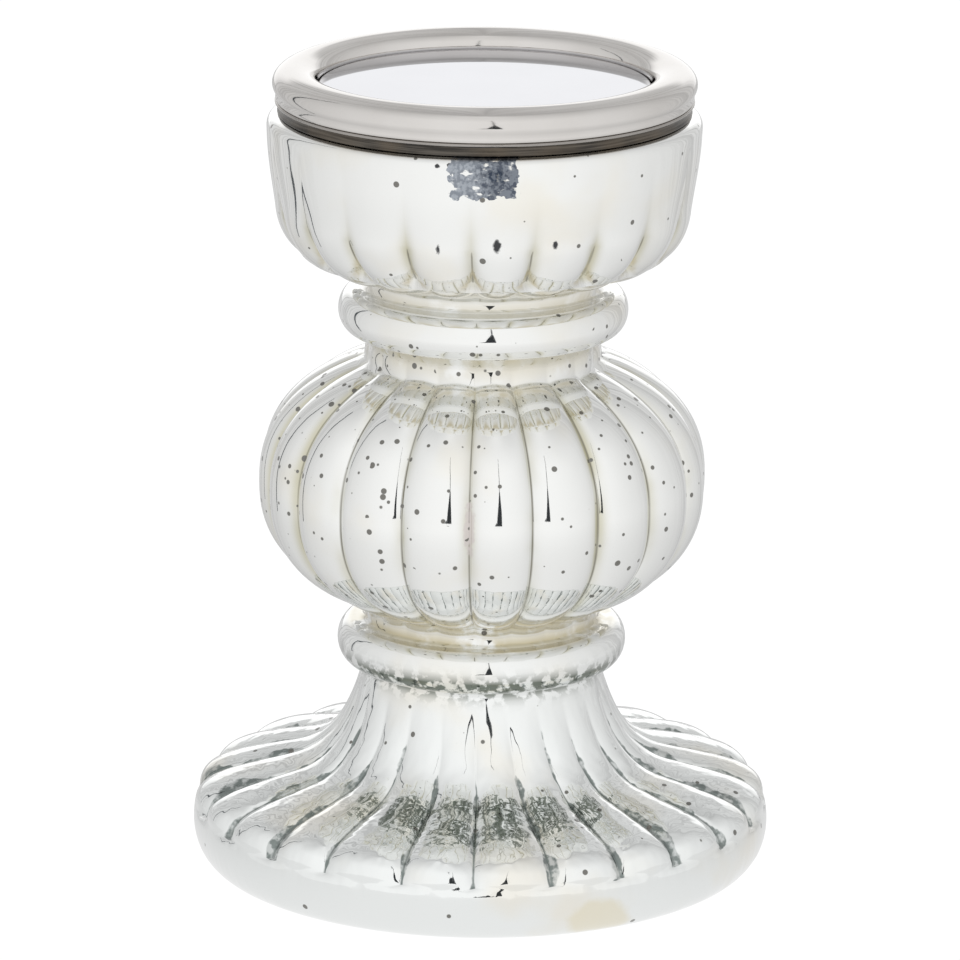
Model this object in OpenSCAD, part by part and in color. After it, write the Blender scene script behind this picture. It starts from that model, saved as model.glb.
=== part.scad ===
// Fluted glass tealight holder with a metal cap, standing on its foot at z = 0.
// One blown glass body, silvered inside, closed by a cemented cap that carries the candle.

/* [Glass body] */
// Radius of the foot over the lobes
foot_r = 71.4; // [68:0.1:74]
// Radius of the circle that touches the table
contact_r = 65; // [60:0.5:66]
// Radius of the plain necks
neck_r = 28.6; // [27:0.1:30]
// Radius of the lower bead
lower_bead_r = 35.6; // [34:0.1:38]
// Radius of the upper bead
upper_bead_r = 35.5; // [34:0.1:38]
// Radius of the middle globe over the lobes
globe_r = 55; // [50:0.1:58]
// Radius of the bowl at its widest
bowl_r = 52.9; // [52:0.1:54]
// Thickness of the glass behind the flutes
wall = 2.4; // [1.8:0.1:2.8]

/* [Heights] */
// Height of the foot where it is widest
foot_z = 10; // [9:0.5:12]
// Centre of the lower bead
lower_bead_z = 56.1; // [55:0.1:58]
// Centre of the globe
globe_z = 97; // [96:0.1:98]
// Half height of the globe
globe_h = 34.8; // [33:0.1:35]
// Centre of the upper bead
upper_bead_z = 139.9; // [139:0.1:141]
// Underside of the bowl
bowl_z = 150.3; // [149:0.1:151]
// Top of the glass shoulder
shoulder_z = 188.8; // [188:0.1:189.5]

/* [Flutes] */
// Number of lobes round the globe and the bowl
lobes = 20; // [16:4:24]
// Number of lobes round the foot
foot_lobes = 24; // [16:4:28]
// Groove depth on the foot
foot_groove = 2.2; // [1:0.1:4]
// Groove depth on the globe
globe_groove = 2.4; // [1:0.1:3]
// Groove depth low on the bowl
bowl_groove = 2.6; // [0.5:0.1:3]

/* [Metal cap] */
// Radius of the rim ring to the middle of its tube
ring_r = 46; // [45.5:0.1:46.5]
// Half the width of the rim ring's oval tube
tube_w = 5.55; // [5.3:0.05:5.8]
// Half the height of the rim ring's oval tube
tube_h = 3.95; // [3.6:0.05:4.2]
// Thickness of the tube's wall
tube_wall = 0.8; // [0.5:0.1:1.5]
// Thickness of the sheet that the pan is pressed from
sheet_t = 0.8; // [0.5:0.1:1]
// Outer radius of the band round the glass lip
band_r = 50.1; // [49.8:0.1:50.5]

/* [Hidden] */
$fn = 96;
eps = 0.01;

facets_per_lobe = 4;
lobe_bow = 0.92; // how round a lobe is: 0 is flat, 1 a half circle

bead_tube_r = 4.1;
bead_h = 5.3; // half height of a bead
bead_cove = 0.8;
plain_rim_z = 13; // the foot is plain below this height
punt_r = 55;
punt_h = 5;

lip_r = 48.9;
lip_h = 2.3;
lip_z = shoulder_z + lip_h;
silver_t = 0.1;

cement_t = 0.2;
flange_t = 0.8;
flange_z = lip_z + cement_t;
flange_r = band_r + 0.8;
flange_hole_r = 38;
ring_z = flange_z + flange_t + tube_h;
plate_drop = 0.4; // plate top below the middle of the tube
plate_z = ring_z - plate_drop;
plate_r = ring_r - tube_w;

// Point at t on the cubic curve with the four given control points
function bezier(p, t) =
    p[0] * pow(1 - t, 3) + 3 * p[1] * t * pow(1 - t, 2) + 3 * p[2] * t * t * (1 - t) + p[3] * pow(t, 3);
function curve(p, steps) = [for (i = [0 : steps - 1]) bezier(p, i / steps)];

// 0 below the first height and 1 above the second, with a smooth rise between them
function fade(z, low, high) =
    let (t = min(1, max(0, (z - low) / (high - low))))
    t * t * (3 - 2 * t);

// The foot's grooves start above its plain rim and run out below the lower bead
function foot_cut(z) =
    foot_groove * fade(z, plain_rim_z, plain_rim_z + 7) * (1 - 0.55 * fade(z, 24, 32))
    * (1 - fade(z, 32, lower_bead_z - bead_h - 1));
function fluted(points) = [for (p = points) [p[0], p[1], foot_cut(p[1])]];

// Every outline point is [radius over the lobes, height, groove depth]
function rim_line() =
    [for (a = [-90 : 22 : 20])
        [contact_r + (foot_r - contact_r) * cos(a), foot_z * (1 + sin(a)), 0]];
function shoulder_line() =
    fluted(curve([[foot_r - 0.5, foot_z + 4], [foot_r + 1, foot_z + 10.8],
                  [62.3, foot_z + 12.5], [47.5, 25.9]], 10));
function flare_line() =
    fluted(curve([[47.5, 25.9], [36.5, 28.2], [neck_r + 4.2, 37.6],
                  [neck_r + 0.8, lower_bead_z - bead_h - 1.4]], 7));
// The part of a bead from one angle to another: -90 is its lower edge, 90 its upper edge
function bead_arc(r, z, from, to) =
    let (mid_r = r - bead_tube_r)
    [for (a = [from : 30 : to]) [mid_r + bead_tube_r * cos(a), z + bead_h * sin(a), 0]];
function bead_foot(z) = [[neck_r, z - bead_h - bead_cove, 0]];
function bead_head(z) = [[neck_r, z + bead_h + bead_cove, 0]];
function globe_line() =
    let (power = 2 / 2.29)
    [for (i = [-7 : 7])
        let (a = i * 8.7, r = globe_r * pow(cos(a), power))
        [r, globe_z + globe_h * sign(a) * pow(abs(sin(a)), power),
         globe_groove * sqrt(max(0, r - neck_r) / (globe_r - neck_r))]];
function bowl_line() =
    concat(curve([[neck_r + 1.2, bowl_z, 0], [42.5, bowl_z, bowl_groove * 1.2],
                  [50.2, bowl_z + 6, bowl_groove * 1.4], [50.9, bowl_z + 16.3, bowl_groove * 0.3]], 8),
           curve([[50.9, bowl_z + 16.3, bowl_groove * 0.3], [51.6, bowl_z + 22, 0.2],
                  [bowl_r, bowl_z + 28, 0.2], [bowl_r, shoulder_z - 3, 0.1]], 4),
           [for (a = [0 : 30 : 90]) [bowl_r - 3 + 3 * cos(a), shoulder_z - 3 + 3 * sin(a), 0]],
           [[lip_r, shoulder_z + eps, 0], [lip_r, lip_z, 0]]);

foot_outline = concat(rim_line(), shoulder_line(), flare_line(), bead_foot(lower_bead_z),
                      bead_arc(lower_bead_r, lower_bead_z, -90, 0));
upper_outline = concat(bead_arc(lower_bead_r, lower_bead_z, 0, 90), bead_head(lower_bead_z), globe_line(),
                       bead_foot(upper_bead_z), bead_arc(upper_bead_r, upper_bead_z, -90, 90),
                       bead_head(upper_bead_z), bowl_line());

// Outward direction of a line at its point i, as [radial, upward]
function outward(line, i) =
    let (a = line[max(0, i - 1)], b = line[min(len(line) - 1, i + 1)], d = [b[0] - a[0], b[1] - a[1]])
    [d[1], -d[0]] / norm(d);

// How deep the groove cuts at t turns of a lobe: 0 on the lobe's crest, 1 in the groove
function cut(turns) =
    let (t = abs(2 * (turns - floor(turns)) - 1))
    (1 - sqrt(1 - pow(lobe_bow * t, 2))) / (1 - sqrt(1 - lobe_bow * lobe_bow));

// One ring of points round the glass at point i of a line
function ring(line, i, count) =
    let (p = line[i], n = outward(line, i), facets = count * facets_per_lobe)
    [for (k = [0 : facets - 1])
        let (a = k * 360 / facets, s = cut(k / facets_per_lobe) * p[2], r = p[0] - s * n[0])
        [r * cos(a), r * sin(a), p[1] - s * n[1]]];

// A line moved in by its deepest groove and the depth, as [radius, height]
function moved_in(line, from, to, depth) =
    [for (i = [from : to]) let (p = line[i]) [p[0], p[1]] - (p[2] + depth) * outward(line, i)];

function inner_line(depth) =
    let (foot_last = len(foot_outline) - 1, upper_last = len(upper_outline) - 1)
    concat([[0, punt_h + depth], [punt_r * 0.6, punt_h * 0.7 + depth]],
           moved_in(foot_outline, 1, foot_last - 1, depth), moved_in(upper_outline, 1, upper_last - 4, depth),
           [[lip_r - depth, shoulder_z - depth]]);

// A closed solid with a ring of facets at each point of a line
module fluted_solid(line, count) {
    facets = count * facets_per_lobe;
    rings = len(line);
    points = [for (i = [0 : rings - 1]) each ring(line, i, count)];
    sides = [for (j = [0 : rings - 2], k = [0 : facets - 1])
                let (a = j * facets + k, b = j * facets + (k + 1) % facets)
                each [[a, a + facets, b], [b, a + facets, b + facets]]];
    polyhedron(points, concat([[for (k = [0 : facets - 1]) k]], sides,
                              [[for (k = [facets - 1 : -1 : 0]) (rings - 1) * facets + k]]), convexity = 12);
}

module glass_outside() {
    fluted_solid(foot_outline, foot_lobes);
    translate([0, 0, -eps]) fluted_solid(upper_outline, lobes);
}

module glass_body() {
    color([0.80, 0.82, 0.80, 0.5])
    difference() {
        glass_outside();
        translate([0, 0, -eps]) cylinder(h = punt_h * 0.5, r1 = punt_r, r2 = 0);
        rotate_extrude()
            polygon(concat(inner_line(wall), [[lip_r - wall, lip_z + 1], [0, lip_z + 1]]));
    }
}

module silvering() {
    lining = inner_line(wall);
    skin = inner_line(wall + silver_t);
    color([0.93, 0.92, 0.88])
    rotate_extrude()
        polygon(concat(lining, [for (i = [len(skin) - 1 : -1 : 0]) skin[i]]));
}

module cement_ring() {
    color([0.62, 0.60, 0.55])
    rotate_extrude()
        polygon([[lip_r - wall, lip_z], [lip_r, lip_z], [lip_r, shoulder_z + 0.1],
                 [band_r - flange_t, shoulder_z + 0.1], [band_r - flange_t, flange_z],
                 [lip_r - wall, flange_z]]);
}

module collar_band() {
    color([0.20, 0.17, 0.15])
    rotate_extrude() {
        translate([band_r - flange_t, shoulder_z + 0.1])
            square([flange_t, flange_z - shoulder_z - 0.1 + eps]);
        translate([flange_hole_r, flange_z]) square([flange_r - flange_hole_r, flange_t]);
    }
}

// Section of the rolled rim, thinner than its full size by the inset
function oval(inset) =
    [for (a = [0 : 10 : 350]) [ring_r + (tube_w - inset) * cos(a), ring_z + (tube_h - inset) * sin(a)]];

module rim_ring() {
    color([0.55, 0.52, 0.49])
    difference() {
        rotate_extrude() polygon(oval(0));
        rotate_extrude() polygon(oval(tube_wall));
    }
}

module candle_plate() {
    color([0.86, 0.86, 0.86])
    difference() {
        translate([0, 0, flange_z + flange_t]) cylinder(h = plate_z - flange_z - flange_t, r = plate_r);
        translate([0, 0, flange_z + flange_t - 1])
            cylinder(h = plate_z - flange_z - flange_t + 1 - sheet_t, r = plate_r - sheet_t);
    }
}

glass_body();
silvering();
cement_ring();
collar_band();
rim_ring();
candle_plate();
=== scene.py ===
import math
import random
import bpy
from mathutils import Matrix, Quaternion, Vector


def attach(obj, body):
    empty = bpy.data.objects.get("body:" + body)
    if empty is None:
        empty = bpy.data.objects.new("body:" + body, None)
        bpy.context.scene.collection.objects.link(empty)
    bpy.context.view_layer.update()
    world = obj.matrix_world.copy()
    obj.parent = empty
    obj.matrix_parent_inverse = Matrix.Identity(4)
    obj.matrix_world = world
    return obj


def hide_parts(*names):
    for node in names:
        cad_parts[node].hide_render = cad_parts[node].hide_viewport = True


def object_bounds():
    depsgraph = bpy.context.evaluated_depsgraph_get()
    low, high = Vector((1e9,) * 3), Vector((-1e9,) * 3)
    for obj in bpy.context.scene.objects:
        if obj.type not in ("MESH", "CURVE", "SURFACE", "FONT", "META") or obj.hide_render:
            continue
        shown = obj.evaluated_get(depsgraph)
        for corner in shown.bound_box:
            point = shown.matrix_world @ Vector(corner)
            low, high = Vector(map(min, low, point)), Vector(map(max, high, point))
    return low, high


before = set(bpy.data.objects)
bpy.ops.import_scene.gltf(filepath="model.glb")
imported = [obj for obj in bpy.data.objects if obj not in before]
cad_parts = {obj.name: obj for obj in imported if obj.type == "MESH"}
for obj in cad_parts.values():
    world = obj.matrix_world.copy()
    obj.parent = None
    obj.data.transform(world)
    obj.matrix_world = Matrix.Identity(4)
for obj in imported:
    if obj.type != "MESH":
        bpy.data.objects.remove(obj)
cadBox = [list(corner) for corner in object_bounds()]
mm = 0.001
print("frame loaded:", len(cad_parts), "nodes, CAD box", cadBox)


cameraSettings = {
    "azimuth": 3.5,        # degrees round from the front, towards +X
    "elevation": 15.66,
    "distance": 1.651,
    "lens": 251.6,
    "near": 0.05,
    "far": 20,
    "aimHeight": 0.480,    # share of the object's height
    "aimSide": -0.57 * mm,
    "roll": 0.38,          # the holder leans a little in the view
}


def placeCamera():
    s = cameraSettings
    a, e = math.radians(s["azimuth"]), math.radians(s["elevation"])
    back = Vector((math.sin(a) * math.cos(e), -math.cos(a) * math.cos(e), math.sin(e)))
    side = Vector((math.cos(a), math.sin(a), 0))
    aim = Vector((0, 0, s["aimHeight"] * cadBox[1][2])) + side * s["aimSide"]
    bpy.ops.object.camera_add()
    camera = bpy.context.object
    camera.data.lens = s["lens"]
    camera.data.clip_start, camera.data.clip_end = s["near"], s["far"]
    camera.rotation_mode = "QUATERNION"
    camera.location = aim + back * s["distance"]
    camera.rotation_quaternion = (-back).to_track_quat("-Z", "Y")
    camera.rotation_quaternion.rotate(Quaternion(-back, math.radians(-s["roll"])))
    bpy.context.scene.camera = camera
    print("camera placed", s["distance"], "m away")


placeCamera()


def link(tree, a, b):
    tree.links.new(a, b)


def emptyMaterial(name):
    material = bpy.data.materials.new(name)
    material.use_nodes = True
    tree = material.node_tree
    tree.nodes.clear()
    return material, tree, tree.nodes.new("ShaderNodeOutputMaterial")


def newMaterial(name):
    material, tree, out = emptyMaterial(name)
    shader = tree.nodes.new("ShaderNodeBsdfPrincipled")
    link(tree, shader.outputs[0], out.inputs[0])
    return material, tree, shader


def add(tree, kind, **values):
    node = tree.nodes.new(kind)
    for key, value in values.items():
        if key in node.inputs:
            node.inputs[key].default_value = value
        else:
            setattr(node, key, value)
    return node


def objectPlace(tree):
    return tree.nodes.new("ShaderNodeTexCoord").outputs["Object"]


def axes(tree, where):
    split = tree.nodes.new("ShaderNodeSeparateXYZ")
    link(tree, where, split.inputs[0])
    return split.outputs["X"], split.outputs["Y"], split.outputs["Z"]


def maths(tree, operation, a, b=None, c=None, clamp=False):
    node = tree.nodes.new("ShaderNodeMath")
    node.operation = operation
    node.use_clamp = clamp
    for socket, value in zip(node.inputs, (a, b, c)):
        if value is None:
            continue
        if isinstance(value, (int, float)):
            socket.default_value = value
        else:
            link(tree, value, socket)
    return node.outputs[0]


def times(tree, a, b):
    return maths(tree, "MULTIPLY", a, b)


def scaled(tree, value, factor, offset):
    return maths(tree, "MULTIPLY_ADD", value, factor, offset)


def oneMinus(tree, value):
    return maths(tree, "SUBTRACT", 1, value)


def vectorMaths(tree, operation, vector, second=None):
    node = add(tree, "ShaderNodeVectorMath", operation=operation)
    link(tree, vector, node.inputs[0])
    if second:
        node.inputs[1].default_value = second
    return node.outputs["Value" if operation in ("LENGTH", "DOT_PRODUCT") else "Vector"]


def ramp(tree, value, low, high):
    node = tree.nodes.new("ShaderNodeMapRange")
    node.interpolation_type = "SMOOTHSTEP"
    node.inputs["From Min"].default_value = low
    node.inputs["From Max"].default_value = high
    link(tree, value, node.inputs["Value"])
    return node.outputs[0]


def blendColour(tree, share, a, b):
    node = tree.nodes.new("ShaderNodeMix")
    node.data_type = "RGBA"
    for socket, value in ((node.inputs[6], a), (node.inputs[7], b)):
        if isinstance(value, tuple):
            socket.default_value = (*value, 1)
        else:
            link(tree, value, socket)
    link(tree, share, node.inputs[0])
    return node.outputs[2]


def noise(tree, where, scale, detail=2.0, stretch=None):
    node = add(tree, "ShaderNodeTexNoise", Scale=scale, Detail=detail)
    if stretch:
        mapping = add(tree, "ShaderNodeMapping", Scale=stretch)
        link(tree, where, mapping.inputs["Vector"])
        where = mapping.outputs[0]
    link(tree, where, node.inputs["Vector"])
    return node.outputs[0]


def bump(tree, height, strength, distance):
    node = add(tree, "ShaderNodeBump", Strength=strength, Distance=distance)
    link(tree, height, node.inputs["Height"])
    return node.outputs[0]


def attribute(tree, name):
    return add(tree, "ShaderNodeAttribute", attribute_name=name).outputs["Fac"]


def bezierPoints(points, steps):
    out = []
    for i in range(steps):
        t = i / steps
        weights = ((1 - t) ** 3, 3 * t * (1 - t) ** 2, 3 * t * t * (1 - t), t ** 3)
        size = len(points[0])
        out.append(tuple(sum(w * p[k] for w, p in zip(weights, points)) for k in range(size)))
    return out


def arcPoints(r, z, wide, high, start, end, steps):
    out = []
    for i in range(steps + 1):
        a = math.radians(start + (end - start) * i / steps)
        out.append((r + wide * math.cos(a), z + high * math.sin(a)))
    return out


def spinOutline(name, points, steps):
    # a single vertex is drawn out along the outline, and the line is spun round the axis
    bpy.ops.object.select_all(action="DESELECT")
    bpy.ops.mesh.primitive_plane_add(size=mm)
    piece = bpy.context.object
    piece.name = piece.data.name = name
    bpy.ops.object.mode_set(mode="EDIT")
    bpy.ops.mesh.select_all(action="SELECT")
    bpy.ops.mesh.merge(type="CENTER")
    bpy.ops.transform.translate(value=(points[0][0] * mm, 0, points[0][1] * mm))
    for a, b in zip(points, points[1:]):
        bpy.ops.mesh.extrude_vertices_move(
            TRANSFORM_OT_translate={"value": ((b[0] - a[0]) * mm, 0, (b[1] - a[1]) * mm)})
    bpy.ops.mesh.select_all(action="SELECT")
    bpy.ops.mesh.spin(steps=steps, angle=2 * math.pi, center=(0, 0, 0), axis=(0, 0, 1))
    bpy.ops.mesh.select_all(action="SELECT")
    bpy.ops.mesh.remove_doubles(threshold=1e-6)
    bpy.ops.mesh.normals_make_consistent(inside=False)
    bpy.ops.object.mode_set(mode="OBJECT")
    bpy.ops.object.shade_smooth()
    return piece


def applyAll(piece):
    bpy.ops.object.select_all(action="DESELECT")
    piece.select_set(True)
    bpy.context.view_layer.objects.active = piece
    for modifier in list(piece.modifiers):
        bpy.ops.object.modifier_apply(modifier=modifier.name)


# sizes are in mm, and heights are above the table
glassSettings = {
    "lobes": 20, "footLobes": 24, "footTurn": 1.7, "spinSteps": 360,
    "footR": 71.4, "contactR": 65.0, "footZ": 10.0, "plainRimZ": 9.5,
    "footGroove": 2.2, "globeGroove": 2.4, "bowlGroove": 2.6,
    "footRise": 7,         # height in which a foot groove reaches its depth
    "flareLow": 24, "flareHigh": 32, "flareLoss": 0.55,
    "neckR": 28.6, "lowerBeadR": 35.6, "upperBeadR": 35.5,
    "lowerBeadZ": 56.1, "upperBeadZ": 139.9,
    "beadTube": 4.1, "beadHalf": 5.3, "beadCove": 0.8, "beadArc": 100,
    "globeR": 55.0, "globeZ": 97.0, "globeHalf": 34.8, "globePower": 2 / 2.29,
    "globeArc": 61, "globeRings": 22,
    "bowlR": 52.9, "bowlZ": 150.3, "bowlEdge": 3,
    "shoulderZ": 188.8, "lipR": 48.9, "lipH": 2.3, "wall": 2.4,
    "puntR": 55.0, "puntH": 2.5,
    "lobeBow": 0.92,       # how round a lobe is: 0 is flat, 1 a half circle
    "crowding": 0.6,       # how far the mesh rings crowd towards the grooves
    "wander": 1.3,         # how far a groove strays from its even place, degrees
    "seed": 5,
    "unevenness": 0.12,    # how far the blown surface wanders
    "blownScale": 0.03,    # size of the blown surface's waves, in metres
    "neckReach": 40,       # the painted shade and reflections in the creases round the necks, and the tarnish, stay inside this radius
    # the width of the painted crease shade, and the width and strength of the tarnish under the lower bead
    "creaseWide": 0.9, "tarnishWide": 2.9, "tarnish": 1.7,
    # a painted reflection in a band low on the bowl, scalloped along the lobes
    "scallopWide": 1.3, "scallopHigh": 6, "scallop": 0.8,
}


def fade(z, low, high):
    t = min(1, max(0, (z - low) / (high - low)))
    return t * t * (3 - 2 * t)


def footCut(z):
    s = glassSettings
    top = s["lowerBeadZ"] - s["beadHalf"] - 1
    rise = fade(z, s["plainRimZ"], s["plainRimZ"] + s["footRise"])
    kept = 1 - s["flareLoss"] * fade(z, s["flareLow"], s["flareHigh"])
    return s["footGroove"] * rise * kept * (1 - fade(z, s["flareHigh"], top))


def beadPoints(r, z):
    s = glassSettings
    reach = s["beadHalf"] + s["beadCove"]
    arc = arcPoints(r - s["beadTube"], z, s["beadTube"], s["beadHalf"], -s["beadArc"], s["beadArc"], 18)
    return [(s["neckR"], z - reach, 0)] + [(*p, 0) for p in arc] + [(s["neckR"], z + reach, 0)]


def footPoints():
    s = glassSettings
    rim = arcPoints(s["contactR"], s["footZ"], s["footR"] - s["contactR"], s["footZ"], -90, 20, 14)
    waist = (47.5, 25.9)
    slope = bezierPoints([(s["footR"] - 0.5, s["footZ"] + 4), (s["footR"] - 0.1, s["footZ"] + 10.8),
                          (62.3, s["footZ"] + 12.5), waist], 30)
    slope += bezierPoints([waist, (36.5, 28.2), (s["neckR"] + 4.2, 37.6),
                           (s["neckR"] + 0.8, s["lowerBeadZ"] - s["beadHalf"] - 1.4)], 26)
    return [(*p, 0) for p in rim] + [(*p, footCut(p[1])) for p in slope]


def globePoints():
    s = glassSettings
    points = []
    for i in range(-s["globeRings"], s["globeRings"] + 1):
        a = math.radians(i * s["globeArc"] / s["globeRings"])
        r = s["globeR"] * math.cos(a) ** s["globePower"]
        z = s["globeZ"] + s["globeHalf"] * math.copysign(abs(math.sin(a)) ** s["globePower"], a)
        share = math.sqrt(max(0, r - s["neckR"]) / (s["globeR"] - s["neckR"]))
        points.append((r, z, s["globeGroove"] * share))
    return points


def bowlPoints():
    s = glassSettings
    z, b, edge = s["bowlZ"], s["bowlGroove"], s["bowlEdge"]
    turn = (50.9, z + 16.3, b * 0.3)
    points = bezierPoints([(s["neckR"] + 1.2, z, 0), (42.5, z, b * 1.2), (50.2, z + 6, b * 1.4), turn], 24)
    points += bezierPoints([turn, (51.6, z + 22, 0.2), (s["bowlR"], z + 28, 0.2),
                            (s["bowlR"], s["shoulderZ"] - edge, 0.1)], 14)
    corner = arcPoints(s["bowlR"] - edge, s["shoulderZ"] - edge, edge, edge, 0, 90, 6)
    return points + [(*p, 0) for p in corner]


def glassOutline():
    # every point is radius over the lobes, height and groove depth
    s = glassSettings
    lipTop = s["shoulderZ"] + s["lipH"]
    points = [(0, s["puntH"], 0), (s["puntR"] * 0.5, s["puntH"] * 0.5, 0), (s["puntR"], 0, 0)]
    points += footPoints() + beadPoints(s["lowerBeadR"], s["lowerBeadZ"])
    points += globePoints() + beadPoints(s["upperBeadR"], s["upperBeadZ"]) + bowlPoints()
    return points + [(s["lipR"], s["shoulderZ"], 0), (s["lipR"], lipTop, 0), (0, lipTop, 0)]


def grooveTurns(angle, lobes):
    # -1 and 1 in the grooves at the two sides of a lobe, 0 on its crest
    turns = angle * lobes / (2 * math.pi)
    return 2 * (turns - math.floor(turns)) - 1


def crowdTurns(t):
    # how far a vertex moves towards its groove
    return glassSettings["crowding"] * (math.sin(math.pi * t / 2) - t)


def strayAngle(angle, lobes, stray):
    # where a vertex goes: nearer to its groove, and round with a groove that strays
    t = grooveTurns(angle, lobes)
    crowd = crowdTurns(t)
    lobe = math.floor(angle * lobes / (2 * math.pi)) % lobes
    share = (t + crowd + 1) / 2
    shift = stray[lobe] * (1 - share) + stray[(lobe + 1) % lobes] * share
    return angle + crowd * math.pi / lobes + math.radians(shift)


def lobeCut(t):
    bow = glassSettings["lobeBow"]
    return (1 - math.sqrt(1 - (bow * t) ** 2)) / (1 - math.sqrt(1 - bow * bow))


def bell(z, middle, width):
    return math.exp(-((z - middle) / width) ** 2)


def makeGlassBody():
    s = glassSettings
    points = glassOutline()
    piece = spinOutline("silvered_glass", points, s["spinSteps"])
    deepest = max(p[2] for p in points)
    depths = {(round(p[0] * 10), round(p[1] * 10)): p[2] for p in points}
    # heights of the creases that get painted shade and painted reflections, each with its strength
    half = s["beadHalf"]
    creases = [(s["lowerBeadZ"] + half + 0.6, 1.0), (s["globeZ"] + 32.5, 1.6),
               (s["upperBeadZ"] - half - 1, 0.7), (s["upperBeadZ"] + half + 1, 0.5)]
    underBead = s["lowerBeadZ"] - half + 1.2
    draw = random.Random(s["seed"])
    strays = {}
    for lobes in (s["lobes"], s["footLobes"]):
        strays[lobes] = [draw.uniform(-s["wander"], s["wander"]) for lobe in range(lobes)]
    flute = piece.vertex_groups.new(name="flute")
    marks = {name: [0.0] * len(piece.data.vertices) for name in ("grooveLine", "creaseShadeAndReflection", "tarnish")}
    for v in piece.data.vertices:
        r, z = math.hypot(v.co.x, v.co.y) / mm, v.co.z / mm
        depth = depths.get((round(r * 10), round(z * 10)), 0)
        onFoot = z < s["lowerBeadZ"]
        if r < s["neckReach"]:
            # painted shade and painted reflections in the creases
            creaseShading = sum(weight * bell(z, height, s["creaseWide"]) for height, weight in creases)
            marks["creaseShadeAndReflection"][v.index] = min(1, creaseShading)
            marks["tarnish"][v.index] = min(1, s["tarnish"] * bell(z, underBead, s["tarnishWide"]))
        if depth <= 0:
            continue
        lobes = s["footLobes"] if onFoot else s["lobes"]
        angle = math.atan2(v.co.y, v.co.x)
        moved = strayAngle(angle, lobes, strays[lobes])
        t = grooveTurns(angle, lobes)
        t = abs(t + crowdTurns(t))
        share = min(1, depth * 2 / deepest)
        turned = math.radians(s["footTurn"]) if onFoot else 0
        final = angle + (moved - angle + turned) * share
        v.co.x, v.co.y = r * mm * math.cos(final), r * mm * math.sin(final)
        flute.add([v.index], depth / deepest * lobeCut(t), "REPLACE")
        marks["grooveLine"][v.index] = t ** 4 * min(1, depth / 1.2)
        # painted reflection: a band low on the bowl, scalloped along the lobes
        if z > s["bowlZ"] - 1:
            scallopZ = s["bowlZ"] + 2.5 + s["scallopHigh"] * t ** 3
            marks["creaseShadeAndReflection"][v.index] += s["scallop"] * bell(z, scallopZ, s["scallopWide"])
    for name, values in marks.items():
        piece.data.attributes.new(name, "FLOAT", "POINT").data.foreach_set("value", values)
    cutter = piece.modifiers.new("flutes", "DISPLACE")
    cutter.vertex_group, cutter.mid_level, cutter.strength = "flute", 0, -deepest * mm
    blown = bpy.data.textures.new("blownSurface", "CLOUDS")
    blown.noise_scale, blown.noise_depth = s["blownScale"], 1
    # the flat ring that stands on the table stays flat
    raised = piece.vertex_groups.new(name="raised")
    raised.add([v.index for v in piece.data.vertices if v.co.z > 4 * mm], 1, "REPLACE")
    wave = piece.modifiers.new("unevenness", "DISPLACE")
    wave.texture, wave.texture_coords, wave.vertex_group = blown, "LOCAL", "raised"
    wave.mid_level, wave.strength = 0.5, s["unevenness"] * 2 * mm
    applyAll(piece)
    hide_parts("glass_body", "silvering")
    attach(piece, "root")
    print("glass body", len(piece.data.polygons), "faces")
    return piece


# heights and places are in metres
silverSettings = {
    "cool": (0.79, 0.808, 0.80), "clean": (0.80, 0.805, 0.79), "warm": (0.785, 0.765, 0.70),
    "coolTop": 0.03, "cleanFrom": 0.075,
    # the groove tints are painted shade; the foot's tint also paints dark reflections
    "grooveShadeTint": (0.13, 0.12, 0.075), "footShadeAndReflectionTint": (0.15, 0.18, 0.17),
    # painted shade beside the grooves
    "grooveHaloShadeTint": (0.56, 0.54, 0.42),
    # the crease tint is painted shade and painted reflection
    "creaseShadeAndReflectionTint": (0.50, 0.44, 0.28), "tarnishTint": (0.15, 0.17, 0.14),
    "streakAside": 0.28, "streakRagged": 2.6, "streakStart": 2.04,
    "speckColour": (0.16, 0.155, 0.14),
    "speckScale": 340.0,        # cells per metre in which a speck may lie
    "speckSmall": 0.08, "speckSpread": 0.22, "speckSharp": 22,
    "speckFew": 0.22,           # share of the cells with a speck, and how many more on the globe
    "speckMore": 0.86,
    "patchLight": (0.33, 0.36, 0.40), "patchDark": (0.05, 0.065, 0.095),
    "patchTurn": 3.5,           # where the worn patch is, degrees round from the front
    "patchLow": 0.1795, "patchHigh": 0.1897, "patchHalf": 0.008,
    "patchDense": 0.37,
    "markColour": (0.02, 0.022, 0.025),
    # small marks: degrees round from the front, height, distance from the axis, half width, half height
    "marks": [(-9.1, 0.1664, 0.0495, 0.0007, 0.0014), (7.1, 0.1676, 0.050, 0.0011, 0.0017),
              (23.3, 0.1672, 0.050, 0.0007, 0.0011), (-8.8, 0.1870, 0.0520, 0.0007, 0.0006),
              (-5.6, 0.1873, 0.0520, 0.0008, 0.0006)],
    "amber": (27.8, 0.0050, 0.069, 0.0075, 0.0050), "amberTint": (0.74, 0.69, 0.54),
    "blush": (0.2, 0.0990, 0.0545, 0.0014, 0.0080), "blushTint": (0.60, 0.545, 0.53),
    "softSpot": 0.75,           # strength of the amber and blush spots
    "roughness": 0.015, "roughSpread": 0.05, "dullRoughness": 0.3,
    "rippleHigh": 0.25, "rippleLow": 1.6, "rippleStrength": 0.5, "rippleDepth": 0.0009,
}


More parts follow.
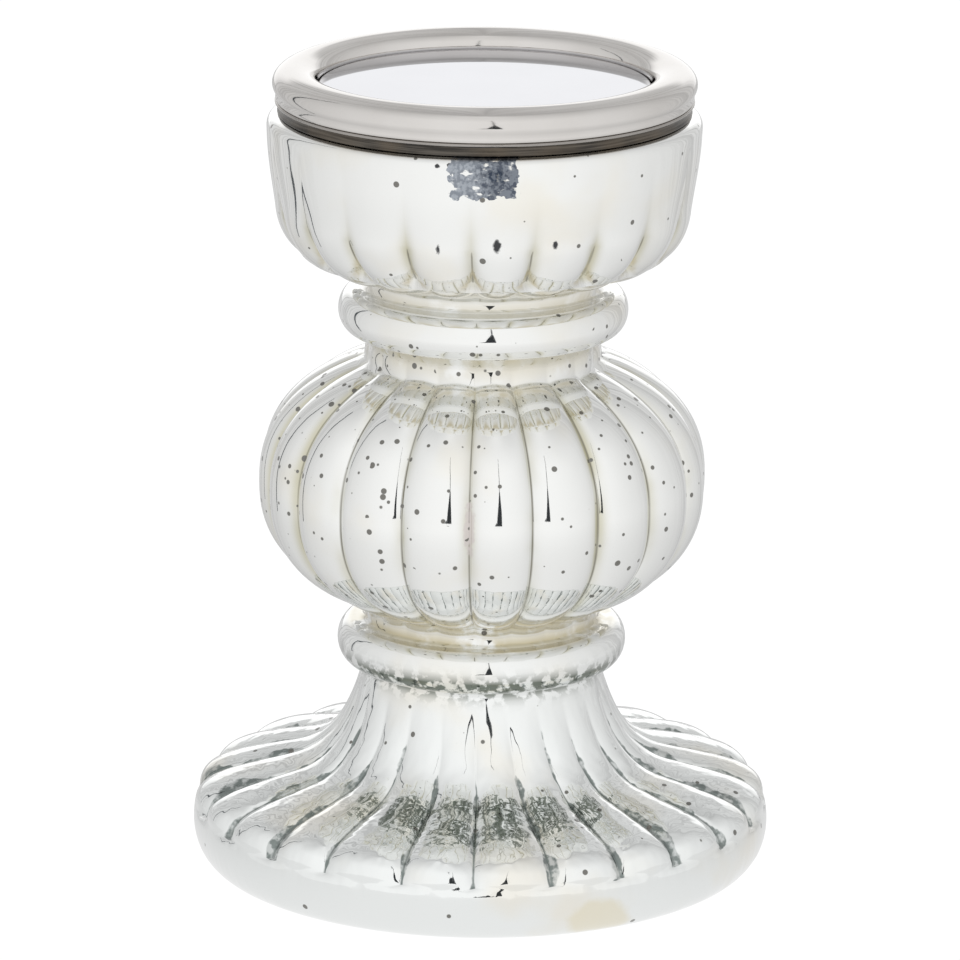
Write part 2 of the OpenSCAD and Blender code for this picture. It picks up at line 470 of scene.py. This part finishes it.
def speckMask(tree, where, density):
    # round specks of uneven size, thick in some places and rare in others
    s = silverSettings
    cells = add(tree, "ShaderNodeTexVoronoi", Scale=s["speckScale"])
    link(tree, where, cells.inputs["Vector"])
    draw = tree.nodes.new("ShaderNodeSeparateColor")
    link(tree, cells.outputs["Color"], draw.inputs[0])
    reach = scaled(tree, draw.outputs[0], s["speckSpread"], s["speckSmall"])
    inside = maths(tree, "SUBTRACT", reach, cells.outputs["Distance"])
    inside = maths(tree, "MULTIPLY", inside, s["speckSharp"], clamp=True)
    crowd = scaled(tree, ramp(tree, noise(tree, where, 17), 0.45, 0.70), 0.7, 0.35)
    kept = maths(tree, "LESS_THAN", draw.outputs[1], times(tree, crowd, density))
    return times(tree, inside, kept)


def patchMask(tree, where):
    # a rubbed patch under the collar, ragged at its edges, and how dark it is
    s = silverSettings
    place = add(tree, "ShaderNodeVectorRotate", Angle=-math.radians(s["patchTurn"]))
    place.rotation_type = "Z_AXIS"
    link(tree, where, place.inputs["Vector"])
    x, y, z = axes(tree, place.outputs[0])
    ragged = scaled(tree, noise(tree, where, 420, 3), 0.005, -0.0025)
    across = maths(tree, "ADD", maths(tree, "ABSOLUTE", x), ragged)
    up = maths(tree, "ADD", z, ragged)
    inside = times(tree, maths(tree, "LESS_THAN", across, s["patchHalf"]), maths(tree, "LESS_THAN", y, 0))
    inside = times(tree, inside, maths(tree, "GREATER_THAN", up, s["patchLow"]))
    inside = times(tree, inside, maths(tree, "LESS_THAN", up, s["patchHigh"]))
    dense = s["patchDense"]
    scratch = ramp(tree, noise(tree, where, 800, 4, (0.45, 0.45, 1)), dense - 0.03, dense + 0.06)
    crackle = scaled(tree, noise(tree, where, 1100, 5, (1, 1, 0.6)), 0.016, -0.008)
    towardsRight = ramp(tree, maths(tree, "ADD", x, crackle), -0.0030, 0.0022)
    flakes = ramp(tree, noise(tree, where, 950, 5), 0.44, 0.57)
    dark = scaled(tree, flakes, 0.45, times(tree, towardsRight, 0.55))
    return times(tree, inside, scratch), dark


def spotMask(tree, where, spot):
    # 1 inside a small ragged oval on the glass
    turn, height, reach, wide, high = spot
    a = math.radians(turn)
    middle = (reach * math.sin(a), -reach * math.cos(a), height)
    away = vectorMaths(tree, "SUBTRACT", where, middle)
    inHalves = vectorMaths(tree, "DIVIDE", away, (wide, wide * 3, high))
    ragged = scaled(tree, noise(tree, where, 0.9 / wide, 3), 1.2, -0.6)
    distance = maths(tree, "ADD", vectorMaths(tree, "LENGTH", inHalves), ragged)
    return oneMinus(tree, ramp(tree, distance, 0.7, 1.15))


def darkReflectionStreaks(tree, where, x, groove, onFoot):
    # painted dark reflections: ragged dark streaks in the foot's grooves, wider at the holder's sides
    s = silverSettings
    aside = ramp(tree, maths(tree, "ABSOLUTE", x), 0.012, 0.05)
    reach = scaled(tree, aside, s["streakAside"], groove)
    reach = scaled(tree, noise(tree, where, 110, 4, (1, 1, 0.55)), s["streakRagged"], reach)
    deep = times(tree, ramp(tree, reach, s["streakStart"], s["streakStart"] + 0.14), onFoot)
    flecks = scaled(tree, ramp(tree, noise(tree, where, 420, 4), 0.40, 0.56), 0.55, 0.40)
    return times(tree, deep, times(tree, ramp(tree, groove, 0.02, 0.2), flecks))


def makeSilverMaterial():
    s = silverSettings
    material, tree, shader = newMaterial("agedSilverGlass")
    where = objectPlace(tree)
    x, _, z = axes(tree, where)
    groove = attribute(tree, "grooveLine")
    onFoot = maths(tree, "LESS_THAN", z, glassSettings["lowerBeadZ"] * mm)
    colour = blendColour(tree, ramp(tree, z, s["coolTop"], s["cleanFrom"]), s["cool"], s["clean"])
    warm = ramp(tree, noise(tree, where, 38, 3), 0.50, 0.74)
    colour = blendColour(tree, warm, colour, s["warm"])
    # painted shade: olive shading beside the grooves above the foot, and a thin dark line in every groove
    patchy = ramp(tree, noise(tree, where, 34, 3), 0.34, 0.62)
    grooveHaloShade = times(tree, ramp(tree, groove, 0.08, 0.85), patchy)
    colour = blendColour(tree, times(tree, grooveHaloShade, ramp(tree, z, 0.056, 0.066)), colour, s["grooveHaloShadeTint"])
    broken = maths(tree, "MULTIPLY_ADD", noise(tree, where, 60, 2), 1.2, 0.2, clamp=True)
    line = times(tree, ramp(tree, groove, 0.80, 1.0), broken)
    lineShadeTint = blendColour(tree, onFoot, s["grooveShadeTint"], s["footShadeAndReflectionTint"])
    colour = blendColour(tree, line, colour, lineShadeTint)
    # painted dark reflections streak the foot's grooves
    colour = blendColour(tree, darkReflectionStreaks(tree, where, x, groove, onFoot), colour, s["footShadeAndReflectionTint"])
    # painted shade and painted reflections in the creases and low on the bowl
    creaseShadeMask = times(tree, attribute(tree, "creaseShadeAndReflection"), ramp(tree, noise(tree, where, 150, 4), 0.28, 0.52))
    colour = blendColour(tree, creaseShadeMask, colour, s["creaseShadeAndReflectionTint"])
    under = times(tree, attribute(tree, "tarnish"), ramp(tree, noise(tree, where, 400, 4), 0.42, 0.53))
    colour = blendColour(tree, under, colour, s["tarnishTint"])
    for name in ("amber", "blush"):
        soft = times(tree, spotMask(tree, where, s[name]), s["softSpot"])
        colour = blendColour(tree, soft, colour, s[name + "Tint"])
    onGlobe = times(tree, ramp(tree, z, 0.06, 0.08), oneMinus(tree, ramp(tree, z, 0.136, 0.148)))
    specks = speckMask(tree, where, scaled(tree, onGlobe, s["speckMore"], s["speckFew"]))
    colour = blendColour(tree, specks, colour, s["speckColour"])
    for mark in s["marks"]:
        spot = spotMask(tree, where, mark)
        colour = blendColour(tree, spot, colour, s["markColour"])
        specks = maths(tree, "MAXIMUM", specks, spot)
    patch, dark = patchMask(tree, where)
    patchColour = blendColour(tree, dark, s["patchLight"], s["patchDark"])
    link(tree, blendColour(tree, patch, colour, patchColour), shader.inputs["Base Color"])
    shader.inputs["Metallic"].default_value = 1
    dull = maths(tree, "MAXIMUM", specks, patch)
    rough = scaled(tree, noise(tree, where, 90, 3), s["roughSpread"], s["roughness"])
    link(tree, scaled(tree, dull, s["dullRoughness"], rough), shader.inputs["Roughness"])
    # the blown surface ripples more low down
    low = oneMinus(tree, ramp(tree, z, 0.02, 0.07))
    ripple = noise(tree, where, 130, 2, (1, 1, 0.35))
    ripple = times(tree, ripple, scaled(tree, low, s["rippleLow"], s["rippleHigh"]))
    link(tree, bump(tree, ripple, s["rippleStrength"], s["rippleDepth"]), shader.inputs["Normal"])
    shader.inputs["Coat Weight"].default_value = 1
    shader.inputs["Coat Roughness"].default_value = 0.0
    return material


glassBody = makeGlassBody()
glassBody.data.materials.append(makeSilverMaterial())


capSettings = {
    "ringR": 46.0, "tubeWide": 5.55, "tubeHigh": 3.95, "bandR": 50.1, "sheet": 0.8,
    "ringFrom": -30, "ringTo": 250,    # degrees of the ring's tube that are rolled
    "ringSides": 40, "ringSteps": 240,
    "flangeHoleR": 38.0, "flangeOver": 0.8, "cement": 0.2,
    "plateDrop": 0.4, "plateEdge": 0.6,
    "bandGap": 0.1,                    # between the band and the glass shoulder
    "ringMetal": ((0.645, 0.625, 0.605), (0.58, 0.555, 0.53), 0.07, 0.25),
    "plateMetal": ((0.565, 0.57, 0.60), (0.535, 0.54, 0.57), 0.03, 0.0),
    # the lip's darker copy of the ring's nickel is painted shade under the ring
    "lipShadedMetal": ((0.36, 0.34, 0.32), (0.25, 0.235, 0.22), 0.2, 0.3),
    # the band's near-black and brown colours are painted shade and painted reflection under the rolled ring
    "bandDark": (0.04, 0.037, 0.034), "bandPale": (0.115, 0.104, 0.09),
    "bandBrown": (0.15, 0.12, 0.088), "bandBrownShare": 0.6,
    "cementDark": (0.30, 0.285, 0.25), "cementPale": (0.47, 0.45, 0.40),
}


def flangeZ():
    return glassSettings["shoulderZ"] + glassSettings["lipH"] + capSettings["cement"]


def ringZ():
    return flangeZ() + capSettings["sheet"] + capSettings["tubeHigh"]


def finishPiece(piece, material, replaced):
    piece.data.materials.append(material)
    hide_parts(replaced)
    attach(piece, "root")
    print(piece.name, len(piece.data.polygons), "faces")


def metalMaterial(name, metal):
    # polished metal with a faint drawn grain round the axis and small dull clouds
    colour, dark, roughness, grain = metal
    material, tree, shader = newMaterial(name)
    where = objectPlace(tree)
    clouds = ramp(tree, noise(tree, where, 60, 4), 0.35, 0.75)
    link(tree, blendColour(tree, times(tree, clouds, 0.5), colour, dark), shader.inputs["Base Color"])
    shader.inputs["Metallic"].default_value = 1
    link(tree, scaled(tree, clouds, roughness * 0.5, roughness * 0.8), shader.inputs["Roughness"])
    drawn = noise(tree, where, 1.0, 2, (160, 160, 2600))
    link(tree, bump(tree, drawn, grain, 0.00003), shader.inputs["Normal"])
    return material


def makeRimRing():
    s = capSettings
    # the rolled sheet runs straight down to the lip below it
    low = flangeZ() + s["sheet"]
    outline = arcPoints(s["ringR"], ringZ(), s["tubeWide"], s["tubeHigh"],
                        s["ringFrom"], s["ringTo"], s["ringSides"])
    edge = outline[0]
    outline += [(s["ringR"], low), (edge[0] - 0.35, low), (edge[0] - 0.08, low + 0.3),
                (edge[0], low + 0.9), edge]
    piece = spinOutline("rolled_rim_ring", outline, s["ringSteps"])
    finishPiece(piece, metalMaterial("softNickel", s["ringMetal"]), "rim_ring")


def makeCandlePlate():
    s = capSettings
    top, low = ringZ() - s["plateDrop"], flangeZ() + s["sheet"]
    edge, turn = s["ringR"] - s["tubeWide"], s["plateEdge"]
    outline = [(0, top), (20, top), (edge - 3, top)]
    outline += arcPoints(edge - turn, top - turn, turn, turn, 90, 0, 6)
    outline += [(edge, low), (edge - s["sheet"], low), (edge - s["sheet"], top - turn * 2),
                (edge - turn - s["sheet"], top - s["sheet"]), (0, top - s["sheet"])]
    piece = spinOutline("candle_pan", outline, s["ringSteps"])
    finishPiece(piece, metalMaterial("mirrorTin", s["plateMetal"]), "candle_plate")


def makeCollar():
    s = capSettings
    low, high = glassSettings["shoulderZ"] + s["bandGap"], flangeZ()
    outer, inner, hole = s["bandR"], s["bandR"] - s["sheet"], s["flangeHoleR"]
    lip, half = s["bandR"] + s["flangeOver"], s["sheet"] / 2
    outline = [(inner, low)] + arcPoints(outer - 0.1, low + 0.35, 0.35, 0.35, -90, 60, 6)
    outline += [(outer, low + 0.9), (outer, high - 0.25), (outer + 0.15, high)]
    outline += arcPoints(lip - half, high + half, half, half, -90, 90, 8)
    outline += [(hole, high + s["sheet"]), (hole, high), (inner, high), (inner, low)]
    piece = spinOutline("collar_sleeve", outline, s["ringSteps"])
    material, tree, shader = newMaterial("shadedCollar")
    where = objectPlace(tree)
    drawn = noise(tree, where, 1.0, 4, (60, 60, 2200))
    patches = ramp(tree, noise(tree, where, 45, 3), 0.4, 0.65)
    # painted shade and painted reflection: the band is coloured near black and brown for the shade under
    # the rolled ring and the ring's underside it mirrors; the drawn streaks are the metal's grain
    colour = blendColour(tree, ramp(tree, drawn, 0.35, 0.65), s["bandDark"], s["bandPale"])
    colour = blendColour(tree, times(tree, patches, s["bandBrownShare"]), colour, s["bandBrown"])
    link(tree, colour, shader.inputs["Base Color"])
    shader.inputs["Metallic"].default_value = 1
    link(tree, scaled(tree, drawn, 0.25, 0.16), shader.inputs["Roughness"])
    link(tree, bump(tree, drawn, 0.3, 0.00005), shader.inputs["Normal"])
    finishPiece(piece, material, "collar_band")
    # the lip above the band is brighter metal than the band: a darker copy of the ring's nickel that paints
    # the shade under the ring
    piece.data.materials.append(metalMaterial("lipShadedNickel", s["lipShadedMetal"]))
    for face in piece.data.polygons:
        if face.center.z > (high - 0.1) * mm:
            face.material_index = 1


def makeCement():
    s, g = capSettings, glassSettings
    low, high = g["shoulderZ"] + s["bandGap"], flangeZ()
    lip, lipTop, lipInner = g["lipR"], g["shoulderZ"] + g["lipH"], g["lipR"] - g["wall"]
    outer = s["bandR"] - s["sheet"]
    squeezed = [(lip, low), (lip + 0.15, low - 0.08), (outer - 0.1, low - 0.05), (outer, low)]
    outline = [(lip, low)] + bezierPoints(squeezed, 6)[1:]
    outline += [(outer, low), (outer, high), (lipInner, high), (lipInner, lipTop),
                (lip, lipTop), (lip, low)]
    piece = spinOutline("cement_bead", outline, s["ringSteps"])
    material, tree, shader = newMaterial("greyCement")
    lumps = noise(tree, objectPlace(tree), 420, 5)
    colour = blendColour(tree, ramp(tree, lumps, 0.35, 0.65), s["cementDark"], s["cementPale"])
    link(tree, colour, shader.inputs["Base Color"])
    shader.inputs["Roughness"].default_value = 0.75
    link(tree, bump(tree, lumps, 0.8, 0.0003), shader.inputs["Normal"])
    finishPiece(piece, material, "cement_ring")


makeRimRing()
makeCandlePlate()
makeCollar()
makeCement()


tentSettings = {
    "wall": 0.93, "towardsFront": 0.20, "darkest": 0.80,
    "foldScale": 26, "foldDepth": 0.35,    # soft folds in the cloth at the back
    "ceilingLoss": 0.12, "ceilingLow": 40, "ceilingHigh": 78,
    "backdrop": 1.26,           # the bright panel low in the wall behind
    "backdropTop": 20,          # degrees up
    # near the foot the floor glow is dimmer, a painted contact shadow
    "floorSize": 6, "floorShadeNearFoot": 0.87, "floorReach": 0.5,
    "floorSeen": 1.05, "wallSeen": 1.02,    # what the camera itself sees
    "cardTint": (0.85, 0.93, 1, 1), "slitLevel": 0.05, "edgeLevel": 0.12,
    "slitAzimuth": 8.5, "slitWidth": 0.094, "slitLow": 0.02, "slitThin": 0.35,
    "slitTop": 1.05, "cardDistance": 0.6,
    "edgeAzimuth": -112, "edgeDistance": 0.30,
}


def pickShader(tree, share, first, second, out):
    pick = tree.nodes.new("ShaderNodeMixShader")
    link(tree, share, pick.inputs[0])
    link(tree, first.outputs[0], pick.inputs[1])
    link(tree, second.outputs[0], pick.inputs[2])
    link(tree, pick.outputs[0], out.inputs[0])


def lightPath(tree, name):
    return tree.nodes.new("ShaderNodeLightPath").outputs[name]


def facingNodes(tree, where):
    # 1 towards the front of the tent, -1 towards its back, and how much its folds dim it
    s = tentSettings
    a = math.radians(cameraSettings["azimuth"])
    unit = vectorMaths(tree, "NORMALIZE", vectorMaths(tree, "MULTIPLY", where, (1, 1, 0)))
    facing = vectorMaths(tree, "DOT_PRODUCT", unit, (math.sin(a), -math.cos(a), 0))
    folds = ramp(tree, noise(tree, unit, s["foldScale"], 3), 0.40, 0.70)
    behind = ramp(tree, times(tree, facing, -1), 0.1, 0.9)
    return facing, scaled(tree, times(tree, folds, behind), -s["foldDepth"], 1)


def makeFloor():
    s = tentSettings
    bpy.ops.object.select_all(action="DESELECT")
    bpy.ops.mesh.primitive_plane_add(size=s["floorSize"])
    floor = bpy.context.object
    floor.name = "floor"
    material, tree, out = emptyMaterial("paleFloor")
    where = objectPlace(tree)
    facing, dim = facingNodes(tree, where)
    # painted light: the floor glows for all but camera rays, brighter towards the front and dimmer in the
    # folds at the back
    level = scaled(tree, facing, s["towardsFront"], s["wall"])
    # painted contact shadow: the glow is dimmer near the foot
    away = ramp(tree, vectorMaths(tree, "LENGTH", where), 0.07, s["floorReach"])
    level = times(tree, level, scaled(tree, away, 1 - s["floorShadeNearFoot"], s["floorShadeNearFoot"]))
    glow = tree.nodes.new("ShaderNodeEmission")
    link(tree, times(tree, level, dim), glow.inputs["Strength"])
    seen = add(tree, "ShaderNodeEmission", Strength=s["floorSeen"])
    pickShader(tree, lightPath(tree, "Is Camera Ray"), glow, seen, out)
    floor.data.materials.append(material)
    print("floor laid")


def makeWorld():
    s = tentSettings
    world = bpy.data.worlds.new("lightTent")
    world.use_nodes = True
    bpy.context.scene.world = world
    tree = world.node_tree
    tree.nodes.clear()
    out = tree.nodes.new("ShaderNodeOutputWorld")
    where = tree.nodes.new("ShaderNodeTexCoord").outputs["Generated"]
    height = times(tree, maths(tree, "ARCSINE", axes(tree, where)[2]), 180 / math.pi)
    facing, dim = facingNodes(tree, where)
    level = maths(tree, "MAXIMUM", scaled(tree, facing, s["towardsFront"], s["wall"]), s["darkest"])
    ceiling = ramp(tree, height, s["ceilingLow"], s["ceilingHigh"])
    level = times(tree, times(tree, level, scaled(tree, ceiling, -s["ceilingLoss"], 1)), dim)
    behind = ramp(tree, times(tree, facing, -1), 0.86, 0.975)
    low = oneMinus(tree, ramp(tree, height, s["backdropTop"] - 3, s["backdropTop"] + 5))
    panel = times(tree, behind, low)
    level = maths(tree, "ADD", times(tree, panel, s["backdrop"]), times(tree, level, oneMinus(tree, panel)))
    sky = add(tree, "ShaderNodeBackground", Color=(1, 1, 1, 1))
    link(tree, level, sky.inputs["Strength"])
    seen = add(tree, "ShaderNodeBackground", Color=(1, 1, 1, 1), Strength=s["wallSeen"])
    pickShader(tree, lightPath(tree, "Is Camera Ray"), sky, seen, out)
    print("light tent hung")


def makeCard(name, azimuth, d, corners, level):
    # a dark upright card that only first reflections see; corners are sideways and height, in metres
    a = math.radians(azimuth)
    bpy.ops.object.select_all(action="DESELECT")
    bpy.ops.mesh.primitive_plane_add(size=1)
    card = bpy.context.object
    card.name = name
    vertices = card.data.vertices
    for vertex, corner in zip((vertices[0], vertices[1], vertices[3], vertices[2]), corners):
        side, up = corner
        vertex.co = (math.sin(a) * d + math.cos(a) * side, -math.cos(a) * d + math.sin(a) * side, up)
    material, tree, out = emptyMaterial(name + "Cloth")
    glow = add(tree, "ShaderNodeEmission", Color=tentSettings["cardTint"], Strength=level)
    clear = tree.nodes.new("ShaderNodeBsdfTransparent")
    later = maths(tree, "GREATER_THAN", lightPath(tree, "Ray Depth"), 1.5)
    pickShader(tree, later, glow, clear, out)
    card.data.materials.append(material)
    card.visible_camera = card.visible_diffuse = card.visible_shadow = False
    print("card", name, "hung")


def makeCards():
    s = tentSettings
    half, low, thin, top = s["slitWidth"] / 2, s["slitLow"], s["slitThin"], s["slitTop"]
    slit = [(-half, low), (half, low), (half * 0.2, thin), (-half * 0.15, thin)]
    thread = [(-half * 0.15, thin), (half * 0.1, thin), (half * 0.05, top), (-half * 0.1, top)]
    sill = [(-half - 0.05, low), (-half, low), (-half, low + 0.03), (-half - 0.03, low + 0.012)]
    for name, corners in (("tentSlit", slit), ("slitThread", thread), ("slitSill", sill)):
        makeCard(name, s["slitAzimuth"], s["cardDistance"], corners, s["slitLevel"])
    edge = [(-0.0055, 0.001), (0.0055, 0.001), (0.005, 0.5), (-0.005, 0.5)]
    makeCard("tentEdge", s["edgeAzimuth"], s["edgeDistance"], edge, s["edgeLevel"])


makeFloor()
makeWorld()
makeCards()
bpy.context.scene.view_settings.view_transform = "Standard"
